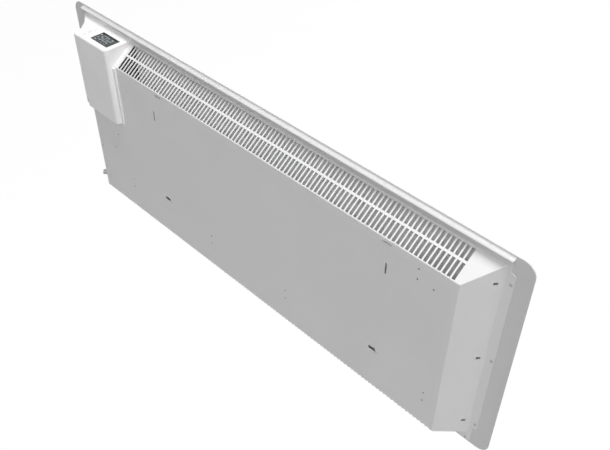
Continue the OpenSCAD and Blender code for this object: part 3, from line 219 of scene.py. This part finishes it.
def coated(name, base, roughness=0.42):
    """Powder-coated steel: a slight orange peel and cloudy variations of tone and gloss."""
    material, tree, shader = node_material(name, base, roughness)
    drift(tree, shader, base, roughness, noise_at(tree, *COAT_CLOUDS), COAT_TONES,
          noise_at(tree, COAT_PATCHES), COAT_GLOSS)
    bump(tree, shader, noise_at(tree, *COAT_GRAIN), COAT_RELIEF, COAT_HEIGHT)
    return material


def moulded(name, base, roughness=0.5, grain=PLASTIC_GRAIN, height=PLASTIC_HEIGHT, wear=0.03):
    """Injection-moulded plastic with a fine spark-eroded grain."""
    material, tree, shader = node_material(name, base, roughness)
    drift(tree, shader, base, roughness, noise_at(tree, PLASTIC_CLOUDS), (1 - wear, 1 + wear / 2),
          noise_at(tree, PLASTIC_PATCHES), PLASTIC_GLOSS)
    bump(tree, shader, noise_at(tree, grain, GRAIN_DETAIL), PLASTIC_RELIEF, height)
    return material


def drawn_metal(name, base, roughness, metallic=1.0):
    """Bare metal with fine drawing lines."""
    material, tree, shader = node_material(name, base, roughness, metallic)
    lines = noise_at(tree, *METAL_LINES, METAL_STRETCH)
    drift(tree, shader, base, roughness, lines, METAL_TONES, lines, METAL_GLOSS)
    bump(tree, shader, lines, METAL_RELIEF, METAL_HEIGHT)
    return material


def window_gloss(name, base, roughness):
    """Dark gloss with faint smudges."""
    material, tree, shader = node_material(name, base, roughness)
    smudges = noise_at(tree, *WINDOW_SMUDGES)
    drift(tree, shader, base, roughness, smudges, WINDOW_TONES, smudges, WINDOW_GLOSS)
    return material


def lit_segments(name, base, roughness):
    """Pale lit segments, a little uneven in brightness."""
    material, tree, shader = node_material(name, base, roughness)
    glow = ramp(tree, noise_at(tree, DIGIT_CLOUDS), shade(base, DIGIT_TONE), base)
    tree.links.new(glow, shader.inputs["Base Color"])
    tree.links.new(glow, shader.inputs["Emission Color"])
    shader.inputs["Emission Strength"].default_value = DIGIT_GLOW
    return material


def paint_light_inside(material, mask_of, painted_light):
    """Paints light onto the inner side of a sheet: a lighter tone where the mask is one, which stands in
    for the light that reaches in through the slots.
    """
    tree = material.node_tree
    shader = tree.nodes["Principled BSDF"]
    outer = shader.inputs["Base Color"].links[0].from_socket
    inner = ramp(tree, noise_at(tree, INSIDE_LIGHT_CLOUDS), shade(painted_light, INSIDE_LIGHT_TONE), painted_light)
    mix = tree.nodes.new("ShaderNodeMix")
    mix.data_type = "RGBA"
    tree.links.new(mask_of(tree), mix.inputs["Factor"])
    tree.links.new(outer, mix.inputs[MIX_A])
    tree.links.new(inner, mix.inputs[MIX_B])
    tree.links.new(mix.outputs[MIX_RESULT], shader.inputs["Base Color"])
    return material


def casing_inside(tree):
    """The faces of the casing that look towards the panel, which get the painted light."""
    return math_node(tree, "LESS_THAN", axes_of(tree, "Normal")["Y"], -FACING)


def panel_inside(tree):
    """The part of the panel's rear face that closes the casing, which gets the painted light."""
    place = axes_of(tree, "Object")
    mask = math_node(tree, "GREATER_THAN", axes_of(tree, "Normal")["Y"], FACING)
    for operation, corner in (("GREATER_THAN", MOUTH[0]), ("LESS_THAN", MOUTH[1])):
        for axis, limit in zip("XZ", corner):
            mask = math_node(tree, "MULTIPLY", mask, math_node(tree, operation, place[axis], limit))
    return mask


# Painted light: a near-white tone on the inner sides of the sheets, lighter than their paint, which
# stands in for the light that reaches inside through the slots
INSIDE_PAINTED_LIGHT = (0.95, 0.95, 0.95)
# Both paints carry painted light on their inner faces, besides the paint's own colour
PANEL_PAINT_AND_INSIDE_LIGHT = paint_light_inside(coated("panel_paint", (0.66, 0.66, 0.66)), panel_inside, INSIDE_PAINTED_LIGHT)
CASING_PAINT_AND_INSIDE_LIGHT = paint_light_inside(coated("casing_paint", (0.785, 0.785, 0.785), 0.45), casing_inside, INSIDE_PAINTED_LIGHT)
HOUSING_PLASTIC = moulded("housing_plastic", (0.94, 0.94, 0.94))
COVER_PLASTIC = moulded("cover_plastic", (0.80, 0.80, 0.77), 0.55)
BLACK_PLASTIC = moulded("black_plastic", (0.035, 0.035, 0.04))
ROCKER_PLASTIC = moulded("rocker_plastic", (0.05, 0.05, 0.055), 0.38)
BLUE_PLASTIC = moulded("blue_plastic", (0.05, 0.14, 0.45), 0.35)
GREEN_PLASTIC = moulded("green_plastic", (0.05, 0.32, 0.14), 0.45)
GREY_PLASTIC = moulded("grey_plastic", (0.50, 0.50, 0.51))
DISPLAY_PLASTIC = moulded("display_plastic", (0.10, 0.13, 0.13), 0.4)
GLAND_PLASTIC = moulded("gland_plastic", (0.62, 0.62, 0.62))
COIL_TAPE = moulded("coil_tape", (0.68, 0.52, 0.12), 0.35, grain=400.0)
BOARD_MASK = moulded("board_mask", (0.04, 0.24, 0.11), 0.3, grain=700.0, wear=0.12)
SILICONE = moulded("silicone", (0.42, 0.10, 0.07), 0.6, grain=900.0)
BROWN_WIRE = moulded("brown_wire", (0.28, 0.13, 0.06), 0.4)
GREY_WIRE = moulded("grey_wire", (0.42, 0.42, 0.43), 0.7, grain=1500.0, height=0.06 * MM)
GREY_INK = moulded("grey_ink", (0.52, 0.53, 0.54), 0.45)
WHITE_INK = moulded("white_ink", (0.85, 0.85, 0.85), 0.45)
ZINC = drawn_metal("zinc", (0.62, 0.63, 0.66), 0.36)
BRASS = drawn_metal("brass", (0.72, 0.56, 0.25), 0.3)
ALUMINIUM = drawn_metal("aluminium", (0.78, 0.79, 0.80), 0.34)
SHEATH = drawn_metal("sheath", (0.34, 0.33, 0.31), 0.42)
SHIELD_SHEET = drawn_metal("shield_sheet", (0.93, 0.93, 0.93), 0.6, metallic=0.0)
# A near-black sheet for the divider plate, which makes the slots nearest the housing read dark
DARK_SHEET = drawn_metal("dark_sheet", (0.10, 0.10, 0.105), 0.55, metallic=0.4)
STUD_METAL = drawn_metal("stud_metal", (0.52, 0.52, 0.53), 0.5, metallic=0.3)
RIVET_METAL = drawn_metal("rivet_metal", (0.12, 0.12, 0.125), 0.5, metallic=0.5)
WINDOW = window_gloss("window_gloss", (0.022, 0.027, 0.03), 0.12)
DIGITS = lit_segments("display_digits", (0.40, 0.46, 0.47), 0.4)

NODE_MATERIALS = {
    "front_panel": PANEL_PAINT_AND_INSIDE_LIGHT, "rear_casing": CASING_PAINT_AND_INSIDE_LIGHT, "panel_studs": STUD_METAL,
    "thermostat_housing": HOUSING_PLASTIC, "housing_cover": COVER_PLASTIC, "cover_screws": ZINC,
    "display_window": WINDOW, "display_panel": DISPLAY_PLASTIC, "display_board": BOARD_MASK,
    "display_screws": ZINC, "tact_switches": BLACK_PLASTIC, "button_minus": HOUSING_PLASTIC,
    "button_ok": HOUSING_PLASTIC, "button_plus": HOUSING_PLASTIC, "switch_body": BLACK_PLASTIC,
    "switch_blades": BRASS, "switch_rocker": ROCKER_PLASTIC, "control_board": BOARD_MASK,
    "board_screws": ZINC, "relay": BLUE_PLASTIC, "transformer": COIL_TAPE,
    "capacitor": BLUE_PLASTIC, "board_connector": GREEN_PLASTIC, "ribbon_cable": GREY_PLASTIC,
    "room_sensor": BLACK_PLASTIC, "cord_gland": GLAND_PLASTIC, "gland_nut": BLACK_PLASTIC,
    "terminal_block": COVER_PLASTIC, "terminal_inserts": BRASS, "terminal_screws": ZINC,
    "block_screws": RIVET_METAL, "earth_studs": RIVET_METAL, "element_fins": ALUMINIUM,
    "element_rod": SHEATH, "rod_seals": SILICONE, "element_pins": SHEATH,
    "end_bushes": COVER_PLASTIC, "support_1": ZINC, "support_2": ZINC, "support_3": ZINC,
    "divider_plate": DARK_SHEET, "support_rivets": RIVET_METAL, "heat_shield": SHIELD_SHEET,
    "shield_rivets": ZINC, "overheat_limiter": BLACK_PLASTIC, "limiter_rivets": RIVET_METAL,
    "wire_clip": COVER_PLASTIC, "divider_grommet": BLACK_PLASTIC, "supply_wires": BROWN_WIRE,
    "element_wires": GREY_WIRE,
}

# Width in millimetres of the rounded edges on the nodes that get them
SOFT_EDGES = {
    "front_panel": 0.45, "rear_casing": 0.16, "thermostat_housing": 0.35, "display_window": 0.12,
    "button_minus": 0.35, "button_ok": 0.35, "button_plus": 0.35, "switch_body": 0.3,
    "switch_rocker": 0.4, "cord_gland": 0.4, "gland_nut": 0.3, "panel_studs": 0.2,
    "terminal_block": 0.3, "relay": 0.4, "transformer": 0.4, "board_connector": 0.3,
    "overheat_limiter": 0.2, "housing_cover": 0.2,
}
EDGE_SEGMENTS = 2
EDGE_ANGLE = 28.0
FLAT_FACE_WEIGHT = 60
SAME_POINT = 0.002 * MM

BODY_OF = {node: body for body, nodes in frame["record"]["behaviour"]["bodies"].items()
           for node in nodes}

# The segments that each digit lights: a top, b upper right, c lower right, d bottom, e lower left,
# f upper left, g middle
SEGMENTS = {"0": "abcdef", "2": "abged", "5": "afgcd"}

# The window's print in millimetres: the reading, its digits and its dot
READING = "205"
DIGIT_CORNER = (8.2, 5.4)
DIGIT_W, DIGIT_H = 7.0, 14.0
DIGIT_STROKE, DIGIT_STEP = 1.6, 9.5
DIGIT_THICK = 0.05
SEGMENT_GAP = 0.12
DOT_BEFORE = 2
DOT_BACK, DOT_SIZE = 2.1, 1.8
# Small marks round the digits, from the window's lowest corner: across, up, width, height
MARKS = ((35.6, 20.6, 4.4, 2.2), (36.2, 14.6, 3.8, 1.6), (38.6, 5.6, 2.8, 2.6), (35.8, 9.6, 2.0, 1.2),
         (8.6, 22.4, 2.0, 0.7), (12.6, 22.4, 2.0, 0.7), (16.6, 22.4, 2.0, 0.7), (20.6, 22.4, 2.0, 0.7))

# The signs on the buttons and the rocker, in millimetres
SIGN_THICK = 0.04
SIGN_ARM, SIGN_HALF = 1.9, 0.3
BUTTON_RING = (1.2, 1.8)
ROCKER_RING = (1.1, 1.7)
ROCKER_LINE = (0.7, 3.4)
RING_STEPS = 28
# The rocker as part.scad makes it: its turn at rest, the height of its ends and its middle over the
# pivot, half its length, and where on a slope its sign sits
ROCKER_TURN = -8
ROCKER_END, ROCKER_MIDDLE, ROCKER_HALF = 5.5, 4.2, 6.6
SIGN_PLACE = 0.55


def piece(name, mesh, material, body):
    """A finished mesh as a named piece that rides on a body."""
    obj = bpy.data.objects.new(name, mesh)
    bpy.context.scene.collection.objects.link(obj)
    mesh.materials.clear()
    mesh.materials.append(material)
    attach(obj, body)
    return obj


def soften(node, width):
    """Stands for a CAD node with the same shape, its edges rounded off inward."""
    mesh = NODES[node].data.copy()
    if mesh.has_custom_normals:
        mesh.attributes.remove(mesh.attributes["custom_normal"])
    work = bmesh.new()
    work.from_mesh(mesh)
    bmesh.ops.remove_doubles(work, verts=work.verts, dist=SAME_POINT)
    for face in work.faces:
        face.smooth = True
    for edge in work.edges:
        edge.smooth = True
    work.to_mesh(mesh)
    work.free()
    obj = piece(node + "_soft", mesh, NODE_MATERIALS[node], BODY_OF[node])
    bevel = obj.modifiers.new("edges", "BEVEL")
    bevel.width = width * MM
    bevel.segments = EDGE_SEGMENTS
    bevel.limit_method = "ANGLE"
    bevel.angle_limit = math.radians(EDGE_ANGLE)
    bevel.use_clamp_overlap = True
    even = obj.modifiers.new("even_normals", "WEIGHTED_NORMAL")
    even.mode = "FACE_AREA_WITH_ANGLE"
    even.weight = FLAT_FACE_WEIGHT
    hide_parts(node)


def box_into(work, low, high):
    """Adds a box to a mesh being built."""
    made = bmesh.ops.create_cube(work, size=1.0)
    size = [high[i] - low[i] for i in range(3)]
    centre = [(high[i] + low[i]) / 2 for i in range(3)]
    bmesh.ops.transform(work, matrix=Matrix.Translation(centre) @ Matrix.Diagonal((*size, 1.0)),
                        verts=made["verts"])


def finish_mesh(work, name):
    """Turns a mesh being built into a named mesh."""
    mesh = bpy.data.meshes.new(name)
    work.to_mesh(mesh)
    work.free()
    return mesh


def digit_into(work, char, corner):
    """Adds one seven-segment digit, lying flat, its top towards +Y."""
    x, y, z = corner
    w, h, stroke = DIGIT_W * MM, DIGIT_H * MM, DIGIT_STROKE * MM
    half = stroke / 2
    spots = {
        "a": (x + half, y + h - stroke, x + w - half, y + h),
        "b": (x + w - stroke, y + h / 2, x + w, y + h - half),
        "c": (x + w - stroke, y + half, x + w, y + h / 2),
        "d": (x + half, y, x + w - half, y + stroke),
        "e": (x, y + half, x + stroke, y + h / 2),
        "f": (x, y + h / 2, x + stroke, y + h - half),
        "g": (x + half, y + h / 2 - half, x + w - half, y + h / 2 + half),
    }
    inset = stroke * SEGMENT_GAP
    for name in SEGMENTS[char]:
        x0, y0, x1, y1 = spots[name]
        box_into(work, (x0 + inset, y0 + inset, z), (x1 - inset, y1 - inset, z + DIGIT_THICK * MM))


def display_digits():
    """The numbers and small marks that show in the window."""
    low, high, _ = part_of("display_window")
    work = bmesh.new()
    z, top = high.z, high.z + DIGIT_THICK * MM
    x, y = low.x + DIGIT_CORNER[0] * MM, low.y + DIGIT_CORNER[1] * MM
    step = DIGIT_STEP * MM
    for i, char in enumerate(READING):
        digit_into(work, char, (x + i * step, y, z))
    dot = x + DOT_BEFORE * step - DOT_BACK * MM
    box_into(work, (dot, y, z), (dot + DOT_SIZE * MM, y + DOT_SIZE * MM, top))
    for across, up, wide, tall in MARKS:
        x0, y0 = low.x + across * MM, low.y + up * MM
        box_into(work, (x0, y0, z), (x0 + wide * MM, y0 + tall * MM, top))
    piece("display_digits", finish_mesh(work, "display_digits"), DIGITS, BODY)


def prism_into(work, outline, place):
    """Adds a thin plate of any outline, lying in the XY plane of a placing matrix."""
    low = [work.verts.new(place @ Vector((x, y, 0))) for x, y in outline]
    high = [work.verts.new(place @ Vector((x, y, SIGN_THICK * MM))) for x, y in outline]
    work.faces.new(high)
    work.faces.new(low[::-1])
    for i, _ in enumerate(outline):
        j = (i + 1) % len(outline)
        work.faces.new((low[i], low[j], high[j], high[i]))


def ring_into(work, inner, outer, place):
    """Adds a thin ring, lying in the XY plane of a placing matrix."""
    top = SIGN_THICK * MM
    turns = [(math.cos(math.tau * i / RING_STEPS), math.sin(math.tau * i / RING_STEPS))
             for i in range(RING_STEPS)]
    rings = [[work.verts.new(place @ Vector((radius * MM * x, radius * MM * y, z))) for x, y in turns]
             for radius, z in ((inner, 0), (outer, 0), (outer, top), (inner, top))]
    for a, b in ((0, 1), (1, 2), (2, 3), (3, 0)):
        for i in range(RING_STEPS):
            j = (i + 1) % RING_STEPS
            work.faces.new((rings[a][j], rings[a][i], rings[b][i], rings[b][j]))


def oblong(length, width):
    """The outline of an oblong about the origin, from millimetres."""
    x, y = length * MM / 2, width * MM / 2
    return [(-x, -y), (x, -y), (x, y), (-x, y)]


def button_marks():
    """A printed minus, ring and plus on the three buttons."""
    arm, half = SIGN_ARM * MM, SIGN_HALF * MM
    cross = [(-arm, -half), (-half, -half), (-half, -arm), (half, -arm), (half, -half), (arm, -half),
             (arm, half), (half, half), (half, arm), (-half, arm), (-half, half), (-arm, half)]
    for name in ("minus", "ok", "plus"):
        _, high, centre = part_of("button_" + name)
        place = Matrix.Translation((centre.x, centre.y, high.z))
        work = bmesh.new()
        if name == "ok":
            ring_into(work, *BUTTON_RING, place)
        else:
            minus = oblong(2 * SIGN_ARM, 2 * SIGN_HALF)
            prism_into(work, minus if name == "minus" else cross, place)
        bmesh.ops.recalc_face_normals(work, faces=work.faces)
        mark = "button_mark_" + name
        piece(mark, finish_mesh(work, mark), GREY_INK, name + "_button")


def rocker_marks():
    """A line and a ring on the rocker's two slopes."""
    pivot = next(Vector(joint["pos_m"]) for joint in frame["record"]["behaviour"]["joints"]
                 if joint["name"] == "rocker_tilt")
    tilt = Matrix.Rotation(math.radians(ROCKER_TURN), 4, "Z")
    end, middle, half = ROCKER_END * MM, ROCKER_MIDDLE * MM, ROCKER_HALF * MM
    slope = math.atan2(end - middle, half)
    work = bmesh.new()
    for side in (-1, 1):
        spot = Vector((middle + (end - middle) * SIGN_PLACE, side * half * SIGN_PLACE, 0))
        out = Vector((math.cos(slope), -side * math.sin(slope), 0))
        along = Vector((0, 0, 1)).cross(out)
        turn = Matrix((along, Vector((0, 0, 1)), out)).transposed().to_4x4()
        place = Matrix.Translation(pivot) @ tilt @ Matrix.Translation(spot) @ turn
        if side < 0:
            prism_into(work, oblong(*ROCKER_LINE), place)
        else:
            ring_into(work, *ROCKER_RING, place)
    bmesh.ops.recalc_face_normals(work, faces=work.faces)
    piece("rocker_marks", finish_mesh(work, "rocker_marks"), WHITE_INK, "rocker")


def seen_rays(tree):
    """One for rays from the camera, a reflection or a clear surface, else zero."""
    path = tree.nodes.new("ShaderNodeLightPath")
    total = path.outputs["Is Camera Ray"]
    for kind in ("Is Glossy Ray", "Is Transmission Ray"):
        total = math_node(tree, "ADD", total, path.outputs[kind], clamp=True)
    return total


def white_where_seen(material):
    """Makes a surface read as white to the camera and in reflections, and keeps some of its shadow."""
    tree = material.node_tree
    glow = tree.nodes.new("ShaderNodeEmission")
    glow.inputs["Strength"].default_value = FLOOR_GLOW
    mix = tree.nodes.new("ShaderNodeMixShader")
    share = math_node(tree, "MULTIPLY", seen_rays(tree), FLOOR_WHITE)
    tree.links.new(share, mix.inputs["Fac"])
    tree.links.new(tree.nodes["Principled BSDF"].outputs["BSDF"], mix.inputs[SHADER_A])
    tree.links.new(glow.outputs["Emission"], mix.inputs[SHADER_B])
    tree.links.new(mix.outputs["Shader"], tree.nodes["Material Output"].inputs["Surface"])


def make_camera(scene):
    """The photograph's camera."""
    data = bpy.data.cameras.new("camera")
    data.lens = CAMERA_LENS
    data.sensor_width = SENSOR_W
    data.clip_start = NEAREST_SEEN
    camera = bpy.data.objects.new("camera", data)
    camera.location = CAMERA_PLACE
    camera.rotation_euler = [math.radians(turn) for turn in CAMERA_TURN]
    scene.collection.objects.link(camera)
    scene.camera = camera


def make_world(scene):
    """A world that reads as white where it is seen, and gives a weak light."""
    world = bpy.data.worlds.new("studio_world")
    scene.world = world
    world.use_nodes = True
    tree = world.node_tree
    back = tree.nodes["Background"]
    back.inputs["Color"].default_value = (1.0, 1.0, 1.0, 1.0)
    level = tree.nodes.new("ShaderNodeMapRange")
    level.inputs["To Min"].default_value = WORLD_LEVEL
    level.inputs["To Max"].default_value = 1.0
    tree.links.new(seen_rays(tree), level.inputs["Value"])
    tree.links.new(level.outputs["Result"], back.inputs["Strength"])


def make_lamps(scene):
    """Soft lamps that point at the heater."""
    for name, place, size, energy in LAMPS:
        data = bpy.data.lights.new(name, "AREA")
        data.size = size
        data.energy = energy
        lamp = bpy.data.objects.new(name, data)
        lamp.location = place
        lamp.rotation_euler = (-Vector(place)).to_track_quat("-Z", "Y").to_euler()
        scene.collection.objects.link(lamp)


def make_floor(scene):
    """A plain pale floor under the heater."""
    material, tree, shader = node_material("floor_paper", FLOOR_PAPER, FLOOR_ROUGHNESS)
    tree.links.new(ramp(tree, noise_at(tree, FLOOR_CLOUDS), *FLOOR_TONES), shader.inputs["Base Color"])
    white_where_seen(material)
    work = bmesh.new()
    bmesh.ops.create_grid(work, x_segments=1, y_segments=1, size=FLOOR_SIZE / 2)
    floor = bpy.data.objects.new("floor", finish_mesh(work, "floor"))
    floor.data.materials.append(material)
    floor.location = (0, 0, CAD_BOX[0][2] - FLOOR_DROP)
    scene.collection.objects.link(floor)


bpy.context.scene.view_settings.view_transform = "Standard"
for make in (make_camera, make_world, make_lamps, make_floor):
    make(bpy.context.scene)
for node_name, obj in NODES.items():
    obj.data.materials.clear()
    obj.data.materials.append(NODE_MATERIALS[node_name])
for node_name, edge_width in SOFT_EDGES.items():
    soften(node_name, edge_width)
display_digits()
button_marks()
rocker_marks()
